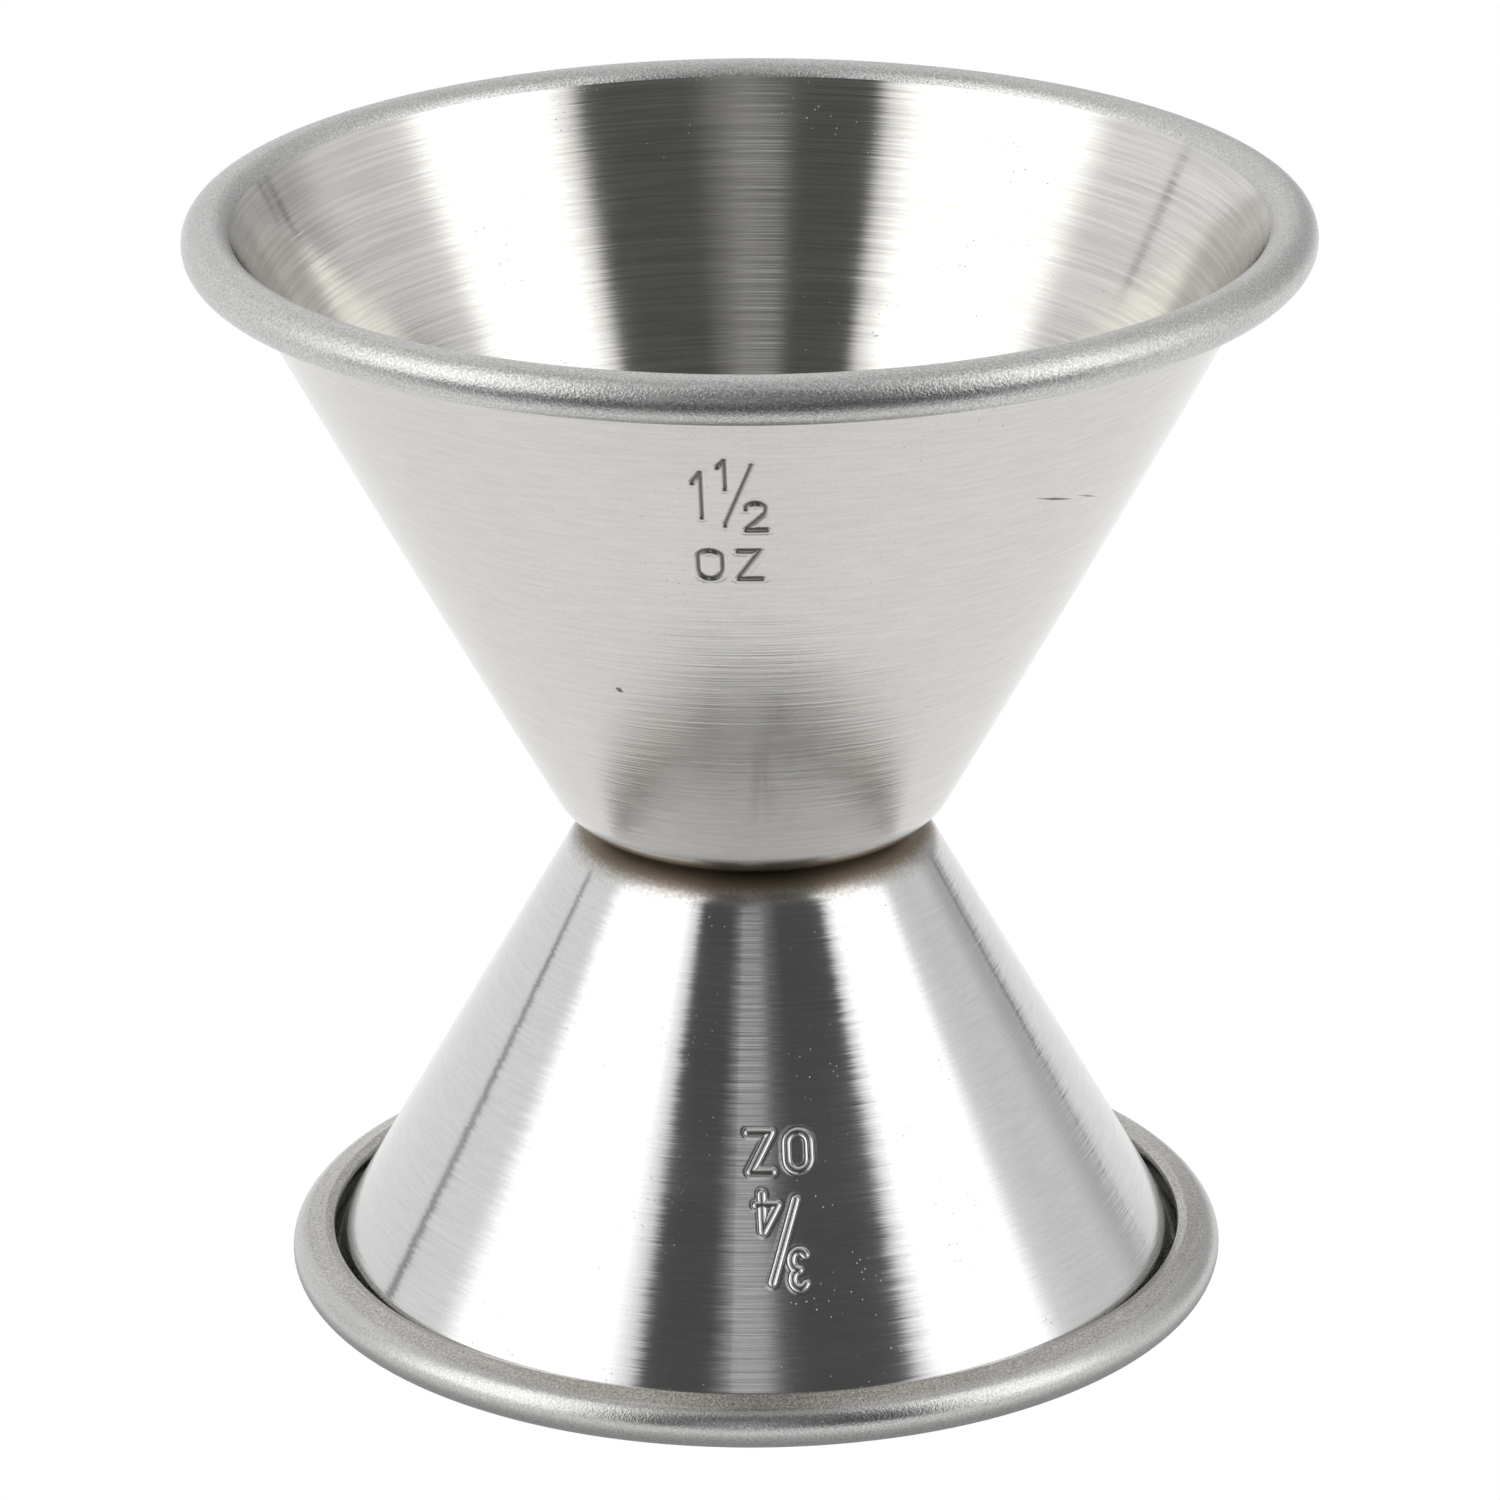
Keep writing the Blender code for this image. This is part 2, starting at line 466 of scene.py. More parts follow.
class Surface:
    """Node groups that several finishes share."""

    def __init__(self) -> None:
        """Build each group once."""
        self.grain = self._turned_grain()
        self.speckle = self._speckle()
        self.scratch = self._scratch()
        self.smudge = self._smudge()

    @staticmethod
    def _turned_grain() -> bpy.types.NodeTree:
        """Fine lines round the axis, as left by polishing on a lathe.

        Returns:
            A group that gives a height for fine lines, for broad lines and for short dashes.
        """
        graph, given, result = new_group(
            "turned_grain", {"Pitch": 0.1 * MM, "Streak": 8.0 * MM}, ("Fine", "Broad", "Dashes")
        )
        place = graph.split(graph.place())
        radius = graph.reach(place)
        shares = {"Fine": (1.0, 1.0), "Broad": (2.5, 1.6), "Dashes": (2.0, 0.3)}  # of the pitch and streak
        for output, (wider, longer) in shares.items():
            pitch = graph.times(given.outputs["Pitch"], wider)
            streak = graph.times(given.outputs["Streak"], longer)
            sizes = (streak, streak, pitch)
            scaled = {axis: graph.over(place[axis], size) for axis, size in enumerate(sizes)}
            stretched = graph.node("CombineXYZ", scaled).outputs[0]
            lines = graph.noise(stretched, 1.0, detail=2.0, roughness=0.6, w=graph.over(radius, pitch))
            graph.feed(result.inputs[output], lines)
        return graph.tree

    @staticmethod
    def _speckle() -> bpy.types.NodeTree:
        """Small pits and grains in rolled metal.

        Returns:
            A group that gives a mask of separate pits and an even grain.
        """
        patches_per_metre = 260.0
        pit_edge = 0.1
        graph, given, result = new_group("speckle", {"Size": 0.2 * MM, "Amount": 0.3}, ("Pits", "Grain"))
        place = graph.place()
        scale = graph.over(1.0, given.outputs["Size"])
        grain = graph.noise(place, scale, detail=3.0, roughness=0.65)
        cells = graph.node("TexVoronoi", {"Vector": place, "Scale": graph.times(scale, 0.5)})
        patches = graph.noise(place, patches_per_metre, detail=2.0, roughness=0.5)
        limit = graph.times(given.outputs["Amount"], graph.ramp(patches, 0.4, 0.7))
        depth = graph.minus(limit, cells.outputs["Distance"])
        graph.feed(result.inputs["Pits"], graph.math("DIVIDE", depth, pit_edge, clamp=True))
        graph.feed(result.inputs["Grain"], grain)
        return graph.tree

    @staticmethod
    def _scratch() -> bpy.types.NodeTree:
        """One straight scratch on a wall, with ragged sides and thin ends.

        Returns:
            A group that gives a mask of the scratch.
        """
        nicks_per_metre = 900.0
        least_width = 0.001 * MM
        usual = {
            "Azimuth": 0.0,
            "Height": 0.0,
            "Length": 5.0 * MM,
            "Width": 0.1 * MM,
            "Slope": 0.0,
            "Radius": 20.0 * MM,
        }
        graph, given, result = new_group("scratch", usual, ("Mask",))
        place = graph.split(graph.place())
        turned = graph.minus(graph.azimuth(place), given.outputs["Azimuth"])
        across = graph.times(turned, given.outputs["Radius"])
        up = graph.minus(place[2], given.outputs["Height"])
        cosine = graph.math("COSINE", given.outputs["Slope"])
        sine = graph.math("SINE", given.outputs["Slope"])
        along = graph.plus(graph.times(across, cosine), graph.times(up, sine))
        off = graph.minus(graph.times(up, cosine), graph.times(across, sine))
        half = graph.times(given.outputs["Length"], 0.5)
        taper = graph.math("DIVIDE", graph.minus(half, graph.math("ABSOLUTE", along)), half, clamp=True)
        nicks = graph.noise(graph.place(), nicks_per_metre, detail=3.0, roughness=0.7)
        width = graph.times(given.outputs["Width"], graph.times(nicks, taper))
        inside = graph.minus(width, graph.math("ABSOLUTE", off))
        close = graph.math("DIVIDE", inside, graph.plus(width, least_width), clamp=True)
        graph.feed(result.inputs["Mask"], graph.ramp(close, 0.0, 0.5))
        return graph.tree

    @staticmethod
    def _smudge() -> bpy.types.NodeTree:
        """Soft uneven patches left by handling and washing.

        Returns:
            A group that gives a value from 0 to 1.
        """
        graph, given, result = new_group("smudge", {"Size": 9.0 * MM}, ("Value",))
        scale = graph.over(1.0, given.outputs["Size"])
        shape = {"Vector": graph.place(), "Scale": scale, "Detail": 4.0, "Roughness": 0.6, "Distortion": 0.6}
        noise = graph.node("TexNoise", shape).outputs[0]
        graph.feed(result.inputs["Value"], graph.ramp(noise, 0.3, 0.7))
        return graph.tree


# ---------------------------------------------------------------------------------------
# Finishes
# ---------------------------------------------------------------------------------------


SMUDGE_SIZE = 9.0 * MM
SMUDGE_ROUGHNESS = 0.05  # between the cleanest metal and the most smudged
WEAR_ROUGHNESS = 0.25  # added in pits, scratches and marks
STAIN_ROUGHNESS = 0.36  # added where the metal is stained and painted with shade
WEAR_DIRT = 0.75  # how far pits and scratches are filled with dirt
MARK_DIRT = 0.85  # and how far marks are
STAIN_AND_SHADE_EDGE = 0.8 * MM  # how ragged the edge of the stain and painted shade is
DIRT_COLOUR = (0.06, 0.052, 0.043, 1.0)
# dark brown of a heat stain and of painted shade at the neck between the cups
STAIN_AND_SHADE_COLOUR = (0.24, 0.195, 0.15, 1.0)


@dataclass(frozen=True)
class Scratch:
    """A scratch on a wall, by azimuth and height on the standing jigger."""

    azimuth: float
    height: float
    length: float
    width: float
    slope: float
    radius: float


@dataclass(frozen=True)
class SteelFinish:
    """Stainless steel with a turned grain."""

    name: str
    colour: tuple[float, float, float, float] = (0.615, 0.603, 0.575, 1.0)
    roughness: float = 0.14
    anisotropy: float = 0.8
    pitch: float = 0.1 * MM  # of the finest lines
    streak: float = 9.0 * MM  # length of those lines
    fine_depth: float = 0.0025 * MM
    broad_depth: float = 0.011 * MM
    waver: float = 0.035  # how far, as a slope, the short dashes turn to one side or the other
    pit_amount: float = 0.12
    pit_depth: float = 0.02 * MM
    grain_depth: float = 0.0
    grain_size: float = 0.2 * MM
    mottle: float = 0.06  # how much the grain lightens and darkens the metal
    lined: float = 0.6  # share of that which follows the dashes, and not the speckle
    scratches: tuple[Scratch, ...] = ()
    stain_and_shade: tuple[float, float] | None = None  # radius where a heat stain and painted shade at the neck start, and where they are full

    def make(self, surface: Surface) -> bpy.types.Material:
        """Build the material.

        Args:
            surface: The shared node groups.

        Returns:
            The material.
        """
        material = bpy.data.materials.new(self.name)
        material.use_nodes = True
        graph = Graph(material.node_tree)
        shader = material.node_tree.nodes["Principled BSDF"]

        grain = graph.group(surface.grain, Pitch=self.pitch, Streak=self.streak).outputs
        speckle = graph.group(surface.speckle, Size=self.grain_size, Amount=self.pit_amount).outputs
        mark = graph.node("Attribute", attribute_name="mark").outputs["Fac"]
        wear = self._wear(graph, surface, speckle["Pits"])
        round_axis = graph.node("Tangent", direction_type="RADIAL", axis="Z").outputs[0]

        colour = self._metal(graph, grain["Dashes"], speckle["Grain"])
        dirt = graph.math("MAXIMUM", graph.times(wear, WEAR_DIRT), graph.times(mark, MARK_DIRT))
        colour = graph.mix(dirt, colour, DIRT_COLOUR)
        smudge = graph.group(surface.smudge, Size=SMUDGE_SIZE).outputs[0]
        rough = graph.plus(self.roughness, graph.times(graph.minus(smudge, 0.5), SMUDGE_ROUGHNESS))
        worn = graph.times(graph.math("MAXIMUM", wear, mark), WEAR_ROUGHNESS)
        rough = graph.math("ADD", rough, worn, clamp=True)
        # a heat stain and painted shade, darker towards the neck between the cups
        if self.stain_and_shade:
            radius = graph.reach(graph.split(graph.place()))
            edge = graph.plus(radius, graph.times(speckle["Grain"], STAIN_AND_SHADE_EDGE))
            stained_and_shaded = graph.ramp(edge, *self.stain_and_shade)
            colour = graph.mix(stained_and_shaded, colour, STAIN_AND_SHADE_COLOUR)
            rough = graph.plus(rough, graph.times(stained_and_shaded, STAIN_ROUGHNESS))

        height = graph.plus(
            graph.times(grain["Fine"], self.fine_depth), graph.times(grain["Broad"], self.broad_depth)
        )
        height = graph.minus(height, graph.times(wear, self.pit_depth))
        height = graph.plus(height, graph.times(speckle["Grain"], self.grain_depth))
        bump = graph.node("Bump", {"Height": height, "Distance": 1.0, "Strength": 1.0}).outputs[0]
        aside = graph.times(graph.minus(grain["Dashes"], 0.5), self.waver)
        leaning = graph.vector("ADD", {0: bump, 1: graph.vector("SCALE", {0: round_axis, 3: aside})})

        graph.feed(shader.inputs["Base Color"], colour)
        graph.feed(shader.inputs["Roughness"], rough)
        graph.feed(shader.inputs["Normal"], graph.vector("NORMALIZE", {0: leaning}))
        shader.inputs["Metallic"].default_value = 1.0
        shader.inputs["Anisotropic"].default_value = self.anisotropy
        shader.inputs["Anisotropic Rotation"].default_value = 0.25
        if self.anisotropy:
            graph.feed(shader.inputs["Tangent"], round_axis)
        return material

    def _wear(self, graph: Graph, surface: Surface, pits: Socket) -> Socket:
        """Join the pits and the scratches in one mask.

        Args:
            graph: The material's graph.
            surface: The shared node groups.
            pits: Mask of the pits.

        Returns:
            The mask.
        """
        wear = pits
        for scratch in self.scratches:
            mask = graph.group(
                surface.scratch,
                Azimuth=math.radians(scratch.azimuth),
                Height=scratch.height,
                Length=scratch.length,
                Width=scratch.width,
                Slope=math.radians(scratch.slope),
                Radius=scratch.radius,
            ).outputs[0]
            wear = graph.math("MAXIMUM", wear, mask)
        return wear

    def _metal(self, graph: Graph, dashes: Socket, speckle: Socket) -> Socket:
        """The metal's own colour, lightened and darkened by its grain.

        Args:
            graph: The material's graph.
            dashes: Short lines round the axis.
            speckle: An even grain.

        Returns:
            The colour.
        """
        tone = graph.plus(graph.times(speckle, 1.0 - self.lined), graph.times(dashes, self.lined))
        shade = graph.ramp(tone, 0.3, 0.7, 1.0 - self.mottle, 1.0 + self.mottle)
        return graph.vector("SCALE", {0: self.colour[:3], 3: shade})


# ---------------------------------------------------------------------------------------
# The jigger
# ---------------------------------------------------------------------------------------


@dataclass
class Cup:
    """One cup of the jigger, pressed from a single sheet."""

    node: str
    slot: str
    sizes: SheetSizes
    mark: StampedMark
    upside_down: bool
    finishes: dict[Zone, SteelFinish]
    welds: list[Vector] = field(default_factory=list)
    weld_dimple: float = 1.9 * MM  # radius of the dent that a welding tip leaves
    coarse_turn: float = 2.5  # degrees
    fine_step: float = 0.075 * MM

    def __post_init__(self) -> None:
        """Read the cup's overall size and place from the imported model."""
        low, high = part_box(self.node)
        self.rim_radius = (high.x - low.x) / 2
        self.height = high.z - low.z
        self.foot = high.z if self.upside_down else low.z
        self.joint_gap = 0.0

    def _wall(self) -> tuple[float, float]:
        """Steepness of the wall, in degrees, and the length of its straight part."""
        sizes = self.sizes
        bend = sizes.bend_radius - sizes.sheet / 2
        roll = (sizes.roll_height - sizes.sheet) / 2
        foot = Vector((sizes.base_diameter / 2, sizes.bend_radius))
        half_roll = sizes.roll_height / 2
        shoulder = Vector((self.rim_radius - half_roll - sizes.roll_flat, self.height - half_roll))
        reach = shoulder - foot
        turn = math.asin((bend + roll) / reach.length)
        return math.degrees(math.atan2(reach.y, reach.x) + turn), reach.length * math.cos(turn)

    def _section(self, mesh: bmesh.types.BMesh) -> None:
        """Draw the sheet's section: up the inside, round the roll, and back down the outside."""
        sizes = self.sizes
        sheet = sizes.sheet
        edge = sizes.free_edge
        steep, wall = self._wall()
        base = sizes.base_diameter / 2
        outer = sizes.roll_height / 2
        inner = outer - sheet
        tight = edge.burr

        path = SheetPath(mesh, Vector((0.0, 0.0, sheet)))
        path.run(base, cuts=18)
        path.bend(steep, sizes.bend_radius - sheet, steps=14)
        path.bowed([(wall, 12)], sizes.bow)
        path.zone = Zone.ROLL
        path.bend(-steep, outer, steps=14)
        path.run(sizes.roll_flat, cuts=2)
        path.bend(-sizes.roll_turn, outer, steps=32)

        lean = math.radians(edge.slant)
        path.bend(-edge.ridge, sheet + tight, steps=3)
        path.zone = Zone.EDGE
        path.run(sizes.lip, cuts=4)
        path.bend(-edge.slant, tight, steps=3)
        path.run(edge.face, cuts=2)
        path.bend(edge.slant - 90.0, tight, steps=4)
        path.run(sheet - 2 * tight - edge.face * math.sin(lean), cuts=2)
        path.bend(-90.0, tight, steps=4)

        path.zone = Zone.ROLL
        path.run(sizes.lip + edge.face * math.cos(lean), cuts=2)
        path.bend(edge.ridge, tight, steps=3)
        path.bend(sizes.roll_turn, inner, steps=16)
        path.run(sizes.roll_flat, cuts=2)
        path.bend(steep, inner, steps=8)
        path.zone = Zone.OUTSIDE
        rise = self.mark.height / 2 + self.mark.margin
        top = self.height - outer + inner * math.cos(math.radians(steep))
        above = (top - self.mark.middle) / math.sin(math.radians(steep)) - rise
        marked = round(2 * rise / self.fine_step)
        path.bowed([(above, 10), (2 * rise, marked), (wall - above - 2 * rise, 14)], -sizes.bow)
        path.bend(-steep, sizes.bend_radius, steps=16)
        path.run(math.fabs(path.tip.co.x), cuts=18)

    def _turn(self, mesh: bmesh.types.BMesh) -> None:
        """Turn the section about the axis, finely where the mark is."""
        mark = self.mark
        radius = self._outer_radius(mark.middle)
        half = math.degrees((mark.width / 2 + mark.margin) / radius)
        fine = round(math.radians(2 * half) * radius / self.fine_step)
        start = Matrix.Rotation(math.radians(mark.azimuth - 90.0 - half), 3, "Z")
        bmesh.ops.rotate(mesh, cent=(0.0, 0.0, 0.0), matrix=start, verts=mesh.verts)
        profile = mesh.verts[:] + mesh.edges[:]
        rest = 360.0 - 2 * half
        for turn, steps in ((2 * half, fine), (rest, round(rest / self.coarse_turn))):
            made = bmesh.ops.spin(
                mesh,
                geom=profile,
                cent=(0.0, 0.0, 0.0),
                axis=(0.0, 0.0, 1.0),
                angle=math.radians(turn),
                steps=steps,
            )
            profile = made["geom_last"]
        bmesh.ops.remove_doubles(mesh, verts=mesh.verts, dist=MERGE_DISTANCE)
        bmesh.ops.recalc_face_normals(mesh, faces=mesh.faces)

    def _outer_radius(self, height: float) -> float:
        """Outside radius of the wall at a height above the cup's base."""
        steep, _ = self._wall()
        lean = math.radians(steep)
        sizes = self.sizes
        bend_top = sizes.bend_radius * (1 - math.cos(lean))
        bend_reach = sizes.base_diameter / 2 + sizes.bend_radius * math.sin(lean)
        return bend_reach + (height - bend_top) / math.tan(lean)

    def _dress_zones(self, mesh: bmesh.types.BMesh) -> None:
        """Give each face the material slot of its stretch of the section."""
        along = mesh.verts.layers.float["along"]
        zone = mesh.verts.layers.int["zone"]
        for face in mesh.faces:
            furthest = max(face.verts, key=lambda vert: vert[along])
            face.material_index = furthest[zone]
            face.smooth = True

    def _stamp(self, mesh: bmesh.types.BMesh) -> None:
        """Press the capacity mark into the outside of the wall."""
        mark = self.mark
        depth_layer = mesh.verts.layers.float.new("mark")
        zone = mesh.verts.layers.int["zone"]
        steep, _ = self._wall()
        lean = math.radians(steep)
        centre = math.radians(mark.azimuth)
        segments = mark.segments()
        for vert in mesh.verts:
            if vert[zone] != Zone.OUTSIDE.value:
                continue
            up = (vert.co.z - mark.middle) / math.sin(lean)
            if abs(up) > mark.height / 2 + mark.reach or vert.co.y > 0.0:
                continue
            azimuth = math.atan2(vert.co.x, -vert.co.y)
            round_wall = (azimuth - centre) * math.hypot(vert.co.x, vert.co.y)
            if abs(round_wall) > mark.width / 2 + mark.reach:
                continue
            press = mark.profile(mark.nearest(Vector((round_wall, up)), segments))
            level = Vector((math.sin(azimuth), -math.cos(azimuth), 0.0))
            outward = level * math.sin(lean) - Vector((0.0, 0.0, math.cos(lean)))
            vert.co += outward * press
            vert[depth_layer] = max(0.0, -press / mark.depth)

    def _press_welds(self, mesh: bmesh.types.BMesh) -> None:
        """Press the base out to meet the other cup where the two are welded."""
        base = self.sizes.base_diameter / 2
        for vert in mesh.verts:
            if vert.co.z > 2 * self.sizes.sheet or math.hypot(vert.co.x, vert.co.y) > base:
                continue
            for weld in self.welds:
                distance = (vert.co.xy - weld.xy).length / self.weld_dimple
                if distance < 1.0:
                    vert.co.z -= self.joint_gap / 2 * (1.0 - distance * distance) ** 2

    def build(self, surface: Surface) -> bpy.types.Object:
        """Build the cup, place it and give it its finishes.

        Args:
            surface: The shared node groups.

        Returns:
            The finished cup.
        """
        mesh = bmesh.new()
        self._section(mesh)
        self._turn(mesh)
        self._dress_zones(mesh)
        self._stamp(mesh)
        self._press_welds(mesh)
        if self.upside_down:
            over = Matrix.Rotation(math.pi, 3, "Y")
            bmesh.ops.rotate(mesh, cent=(0.0, 0.0, 0.0), matrix=over, verts=mesh.verts)
        bmesh.ops.translate(mesh, vec=(0.0, 0.0, self.foot), verts=mesh.verts)

        name = f"{self.node}_sheet"
        data = bpy.data.meshes.new(name)
        mesh.to_mesh(data)
        mesh.free()
        for zone in Zone:
            data.materials.append(self.finishes[zone].make(surface))
        cup = bpy.data.objects.new(name, data)
        bpy.context.scene.collection.objects.link(cup)
        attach(cup, "root")
        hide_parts(self.node)
        LOG.info("%s: %d faces, wall %.1f degrees", name, len(data.polygons), self._wall()[0])
        return cup


@dataclass
class SpotWelds:
    """The nuggets of fused metal between the two bases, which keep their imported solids."""

    prefix: str = "weld_nugget_"

    def nodes(self) -> Iterator[bpy.types.Object]:
        """Each nugget's object."""
        for name in sorted(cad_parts):
            if name.startswith(self.prefix):
                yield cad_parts[name]

    def centres(self) -> list[Vector]:
        """Centre of each nugget."""
        boxes = [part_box(nugget.name) for nugget in self.nodes()]
        return [(low + high) / 2 for low, high in boxes]

    def dress(self, surface: Surface) -> None:
        """Give every nugget the look of dull fused metal."""
        finish = SteelFinish(
            name="fused_metal",
            colour=(0.36, 0.32, 0.27, 1.0),
            roughness=0.45,
            anisotropy=0.0,
            grain_depth=0.03 * MM,
            mottle=0.2,
        )
        material = finish.make(surface)
        for nugget in self.nodes():
            for slot in nugget.material_slots:
                slot.material = material
            LOG.info("%s: dressed", nugget.name)


class Jigger:
    """The whole jigger: a large cup on an upturned small cup."""

    def __init__(self) -> None:
        """Set the sizes of both cups and their marks."""
        self.welds = SpotWelds()
        self.large = Cup(
            node="large_cup",
            slot="large_cup_steel",
            upside_down=False,
            sizes=SheetSizes(
                base_diameter=15.6 * MM,
                bend_radius=4.0 * MM,
                bow=1.5,
                roll_height=2.6 * MM,
                roll_flat=0.2 * MM,
                roll_turn=218.0,
                lip=0.1 * MM,
                free_edge=FreeEdge(),
            ),
            mark=StampedMark(
                azimuth=-2.8,
                middle=26.4 * MM,
                width=4.6 * MM,
                height=9.7 * MM,
                punches=fraction("1", "1", "2", 1.75 * MM) + unit(-4.75 * MM),
            ),
            finishes={
                Zone.INSIDE: SteelFinish(
                    name="large_cup_inside", streak=32.0 * MM, waver=0.015, mottle=0.12, lined=0.9
                ),
                Zone.OUTSIDE: SteelFinish(
                    name="large_cup_outside",
                    scratches=(
                        Scratch(43.0, 52.1 * MM, 3.4 * MM, 0.22 * MM, -16.0, 23.5 * MM),
                        Scratch(50.5, 51.4 * MM, 2.4 * MM, 0.09 * MM, -18.0, 23.5 * MM),
                        Scratch(-24.0, 40.9 * MM, 0.5 * MM, 0.5 * MM, -30.0, 17.5 * MM),
                    ),
                ),
                Zone.ROLL: SteelFinish(
                    name="large_rim",
                    colour=(0.55, 0.545, 0.535, 1.0),
                    roughness=0.26,
                    anisotropy=0.2,
                    fine_depth=0.0005 * MM,
                    broad_depth=0.002 * MM,
                    waver=0.0,
                    pit_amount=0.13,
                    grain_depth=0.035 * MM,
                    grain_size=0.14 * MM,
                    mottle=0.24,
                    lined=0.1,
                ),
                Zone.EDGE: SteelFinish(name="large_cut_edge", roughness=0.35, anisotropy=0.0),
            },
        )
        self.small = Cup(
            node="small_cup",
            slot="small_cup_steel",
            upside_down=True,
            sizes=SheetSizes(
                base_diameter=17.6 * MM,
                bend_radius=2.0 * MM,
                roll_height=2.6 * MM,
                roll_flat=0.2 * MM,
                roll_turn=152.0,
                lip=1.1 * MM,
                free_edge=FreeEdge(ridge=10.0, slant=37.0, face=0.5 * MM),
            ),
            mark=StampedMark(
                azimuth=-4.2,
                middle=16.1 * MM,
                width=4.6 * MM,
                height=9.7 * MM,
                punches=fraction("", "3", "4", 1.3 * MM) + unit(-4.75 * MM),
            ),
            finishes={
                Zone.INSIDE: SteelFinish(
                    name="small_cup_inside", streak=32.0 * MM, waver=0.015, mottle=0.12, lined=0.9
                ),
                Zone.OUTSIDE: SteelFinish(
                    # its stain is a heat stain and painted shade at the neck, below the large cup
                    name="small_cup_outside", colour=(0.605, 0.604, 0.6, 1.0), stain_and_shade=(11.2 * MM, 10.0 * MM)
                ),
                Zone.ROLL: SteelFinish(
                    name="small_rim",
                    colour=(0.51, 0.505, 0.495, 1.0),
                    roughness=0.22,
                    anisotropy=0.2,
                    fine_depth=0.0005 * MM,
                    broad_depth=0.002 * MM,
                    waver=0.0,
                    pit_amount=0.12,
                    grain_depth=0.02 * MM,
                    grain_size=0.14 * MM,
                    mottle=0.16,
                    lined=0.1,
                ),
                Zone.EDGE: SteelFinish(
                    name="small_cut_edge_painted_shade",
                    # darker and browner than the rim: painted reflection of the wall above and painted shade
                    # of the groove beside the lip; its mottle is grain in the cut metal
                    colour=(0.47, 0.455, 0.43, 1.0),
                    roughness=0.17,
                    anisotropy=0.0,
                    waver=0.0,
                    grain_depth=0.035 * MM,
                    grain_size=0.14 * MM,
                    mottle=0.35,
                    lined=0.2,
                ),
            },
        )
        gap = self.large.foot - self.small.foot
        for cup in (self.large, self.small):
            cup.joint_gap = gap
            side = -1.0 if cup.upside_down else 1.0
            cup.welds = [Vector((side * centre.x, centre.y, 0.0)) for centre in self.welds.centres()]

    def build(self, surface: Surface) -> None:
        """Build both cups and dress the welds."""
        self.large.build(surface)
        self.small.build(surface)
        self.welds.dress(surface)


# ---------------------------------------------------------------------------------------
# Studio
# ---------------------------------------------------------------------------------------


@dataclass(frozen=True)
class SoftPanel:
    """A soft-edged patch of the surroundings, by direction from the jigger in degrees."""

    left: float
    right: float
    low: float
    high: float
    radiance: float
    side_softness: float = 8.0
    height_softness: float = 20.0


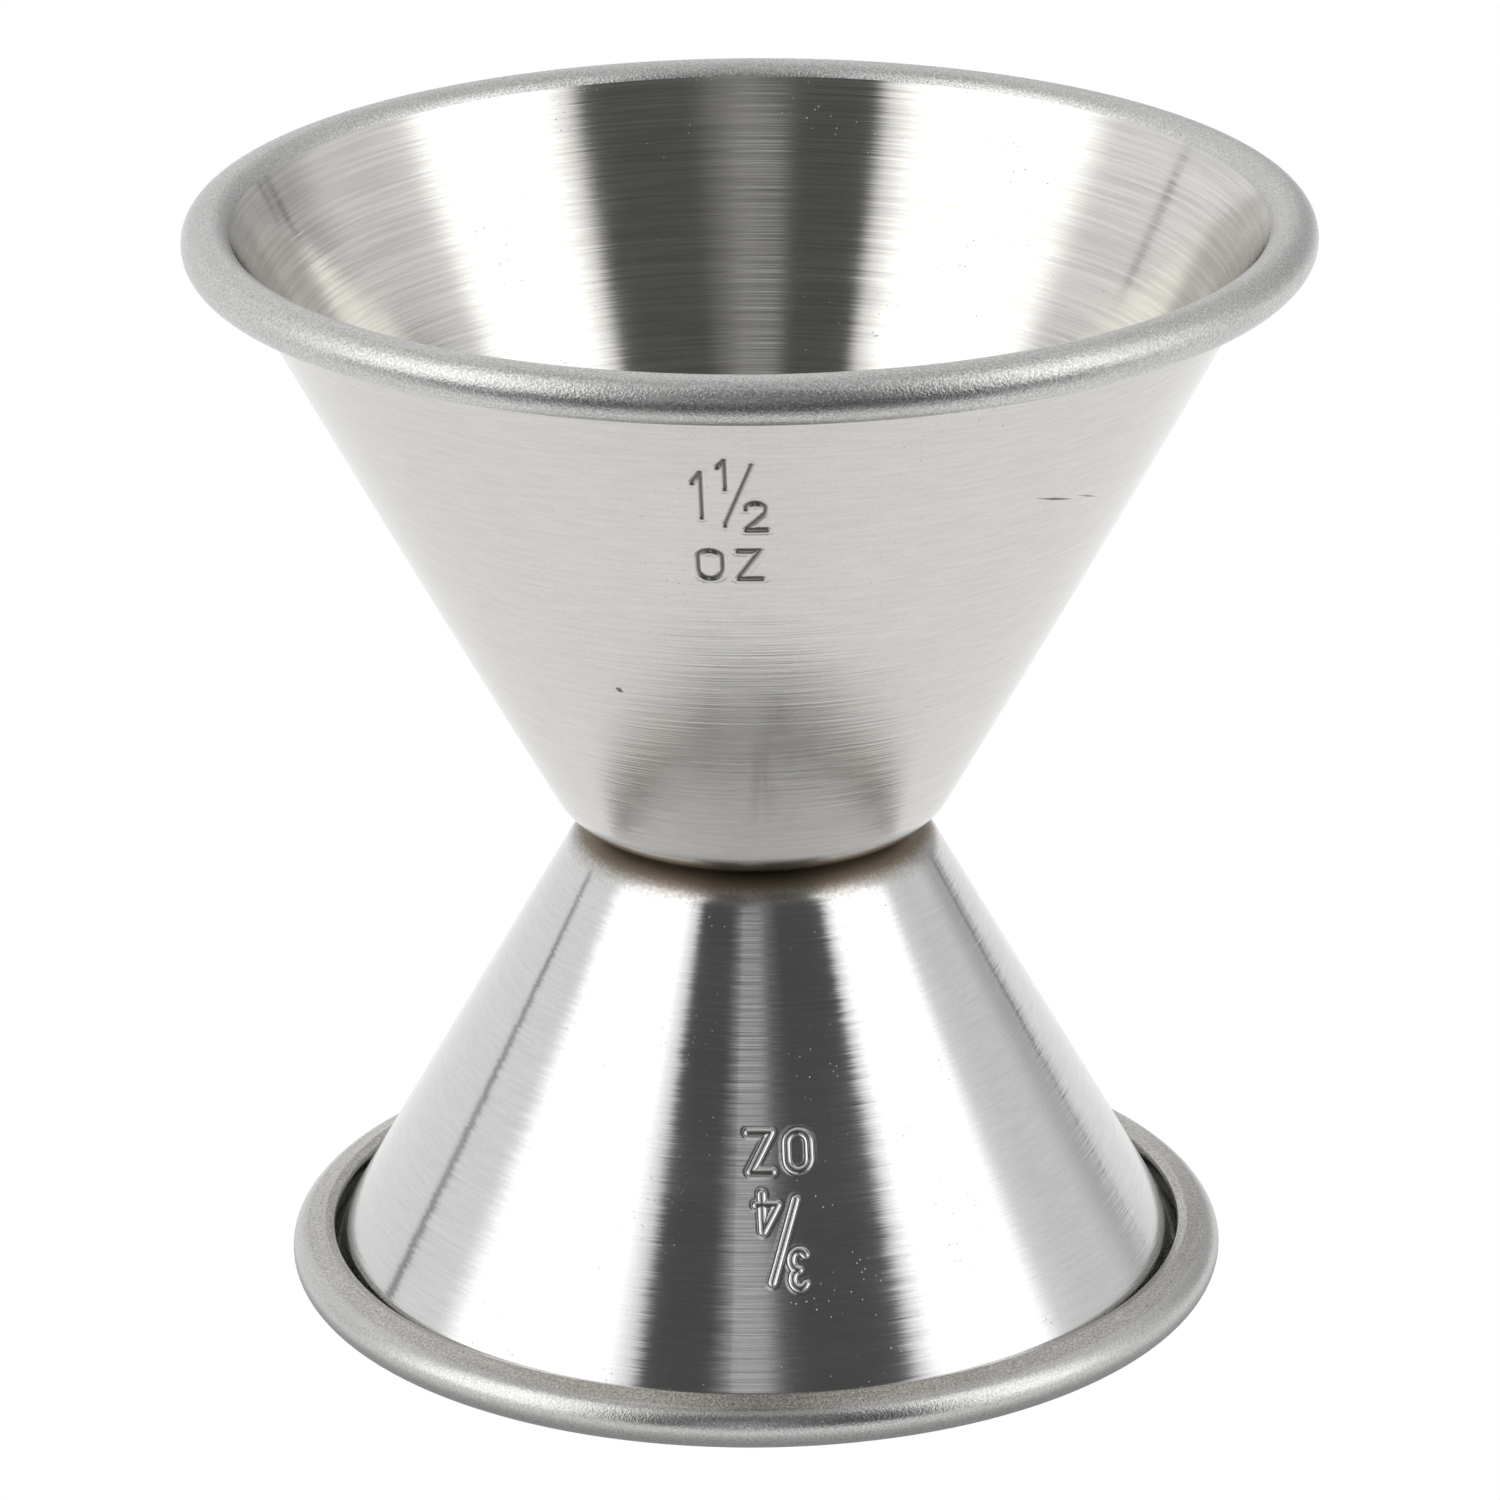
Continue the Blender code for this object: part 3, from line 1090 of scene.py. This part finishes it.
@dataclass(frozen=True)
class Studio:
    """A glowing white table in a pale tent, with a large soft light on each side and a dark front; the table
    carries painted shade that shows only in reflections.

    The panels lie over one another in their order: the back and right of the tent, the two
    lights, the dark front with a paler strip down its middle, and three seams of the tent.
    """

    wall_radiance: float = 1.0
    ceiling_radiance: float = 0.58
    ceiling_from: float = 35.0  # degrees of elevation where the wall starts to turn into the ceiling
    ceiling_full: float = 75.0  # and where the ceiling is reached
    floor_radius: float = 1500.0 * MM
    painted_front_shade_near: float = 30.0 * MM  # where the table's painted shade starts, darkening it towards the front
    painted_front_shade_far: float = 140.0 * MM  # and where it is darkest
    # glow that the painted front shade leaves at its darkest
    painted_front_shade_level: float = 0.07
    painted_shadow_near: float = 26.0 * MM  # from the axis, where the painted shadow of the small rim is deepest
    painted_shadow_far: float = 30.0 * MM  # and where it ends
    # glow that the painted shadow leaves under the small rim
    painted_shadow_level: float = 0.4
    panels: tuple[SoftPanel, ...] = (
        SoftPanel(146.0, 200.0, -20.0, 60.0, 0.85, side_softness=16.0),
        SoftPanel(-200.0, -150.0, -20.0, 60.0, 0.9, side_softness=16.0),
        SoftPanel(96.0, 146.0, -20.0, 60.0, 0.85, side_softness=16.0),
        SoftPanel(123.0, 172.0, -10.0, 34.0, 0.55, side_softness=16.0),
        SoftPanel(-92.0, -41.0, -5.0, 62.0, 1.9, side_softness=12.0),
        SoftPanel(50.0, 88.0, -5.0, 62.0, 1.9, side_softness=10.0),
        SoftPanel(-35.0, 45.0, -60.0, 62.0, 0.095, side_softness=5.0, height_softness=34.0),
        SoftPanel(-35.0, 45.0, 43.0, 62.0, 0.165, side_softness=5.0, height_softness=5.0),
        SoftPanel(-10.0, 5.0, -60.0, 37.0, 0.72, side_softness=8.0, height_softness=10.0),
        SoftPanel(-3.0, 12.0, 36.0, 60.0, 0.25, side_softness=9.0, height_softness=8.0),
        SoftPanel(-118.5, -115.5, -20.0, 16.0, 0.3, side_softness=1.6, height_softness=2.0),
        SoftPanel(134.0, 136.5, -20.0, 9.5, 0.2, side_softness=1.6, height_softness=2.0),
        SoftPanel(138.5, 140.0, -20.0, 9.5, 0.25, side_softness=1.2, height_softness=2.0),
    )

    def _patch(self, graph: Graph, value: Value, low: float, high: float, softness: float) -> Socket:
        """A mask that is 1 from low to high, with soft ends."""
        half = softness / 2
        rise = graph.ramp(value, low - half, low + half)
        fall = graph.ramp(value, high - half, high + half, 1.0, 0.0)
        return graph.times(rise, fall)

    def surroundings(self) -> None:
        """Light the scene from the whole of its surroundings."""
        world = bpy.data.worlds.new("studio")
        world.use_nodes = True
        bpy.context.scene.world = world
        graph = Graph(world.node_tree)
        toward = graph.split(graph.node("TexCoord").outputs["Generated"])
        azimuth = graph.math("DEGREES", graph.azimuth(toward))
        elevation = graph.math("DEGREES", graph.math("ARCSINE", toward[2]))
        radiance: Value = graph.ramp(
            elevation, self.ceiling_from, self.ceiling_full, self.wall_radiance, self.ceiling_radiance
        )
        for panel in self.panels:
            mask = graph.times(
                self._patch(graph, azimuth, panel.left, panel.right, panel.side_softness),
                self._patch(graph, elevation, panel.low, panel.high, panel.height_softness),
            )
            radiance = graph.plus(radiance, graph.times(graph.minus(panel.radiance, radiance), mask))
        background = world.node_tree.nodes["Background"]
        graph.feed(background.inputs["Strength"], radiance)
        background.inputs["Color"].default_value = (1.0, 1.0, 1.0, 1.0)

    def floor(self) -> None:
        """Lay a plain white table that glows evenly, as if lit from below.

        It looks evenly white to a camera. Reflected in the jigger, it carries painted shade: it is darker
        towards the front and has a painted shadow under the small rim, as a real table is.
        """
        mesh = bmesh.new()
        bmesh.ops.create_circle(mesh, cap_ends=True, segments=96, radius=self.floor_radius)
        bmesh.ops.translate(mesh, vec=(0.0, 0.0, -0.02 * MM), verts=mesh.verts)
        data = bpy.data.meshes.new("floor")
        mesh.to_mesh(data)
        mesh.free()
        material = bpy.data.materials.new("lit_table")
        material.use_nodes = True
        graph = Graph(material.node_tree)
        shader = material.node_tree.nodes["Principled BSDF"]
        place = graph.split(graph.place())
        # painted shade, seen only in reflections: darker towards the front, and a painted shadow round the
        # small rim
        front = graph.ramp(place[1], -self.painted_front_shade_far, -self.painted_front_shade_near, self.painted_front_shade_level, self.wall_radiance)
        shade = graph.ramp(
            graph.reach(place), self.painted_shadow_near, self.painted_shadow_far, self.painted_shadow_level, 1.0
        )
        lit = graph.times(front, shade)
        # camera rays see the table evenly white, without the painted shade
        seen = graph.node("LightPath").outputs["Is Camera Ray"]
        shader.inputs["Base Color"].default_value = (0.0, 0.0, 0.0, 1.0)
        shader.inputs["Specular IOR Level"].default_value = 0.0
        shader.inputs["Emission Color"].default_value = (1.0, 1.0, 1.0, 1.0)
        graph.feed(shader.inputs["Emission Strength"], graph.math("MAXIMUM", lit, seen))
        data.materials.append(material)
        floor = bpy.data.objects.new("floor", data)
        bpy.context.scene.collection.objects.link(floor)

    def build(self) -> None:
        """Set up the floor, the lights and how the picture is shown."""
        self.floor()
        self.surroundings()
        bpy.context.scene.view_settings.view_transform = "Standard"


@dataclass(frozen=True)
class Viewpoint:
    """Where the jigger is seen from."""

    distance: float = 444.1 * MM
    elevation: float = 20.79  # degrees above the level
    aim_height: float = 31.21 * MM
    lens: float = 188.39  # millimetres, on a sensor 36 wide
    roll: float = -0.37  # degrees
    sideways: float = -0.002  # shift, as a share of the frame's width

    def build(self) -> None:
        """Make the camera."""
        camera = bpy.data.cameras.new("camera")
        camera.lens = self.lens
        camera.sensor_width = 36.0
        camera.shift_x = self.sideways
        camera.clip_start = 10.0 * MM
        holder = bpy.data.objects.new("camera", camera)
        bpy.context.scene.collection.objects.link(holder)
        lift = math.radians(self.elevation)
        back = Vector((0.0, -math.cos(lift), math.sin(lift)))
        facing = back.to_track_quat("Z", "Y").to_matrix().to_4x4()
        place = Matrix.Translation(Vector((0.0, 0.0, self.aim_height)) + back * self.distance)
        holder.matrix_world = place @ facing @ Matrix.Rotation(math.radians(self.roll), 4, "Z")
        bpy.context.scene.camera = holder


def main() -> None:
    """Build the jigger, its studio and the camera."""
    logging.basicConfig(level=logging.INFO)
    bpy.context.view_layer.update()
    Jigger().build(Surface())
    Studio().build()
    Viewpoint().build()


if __name__ == "__main__":
    main()
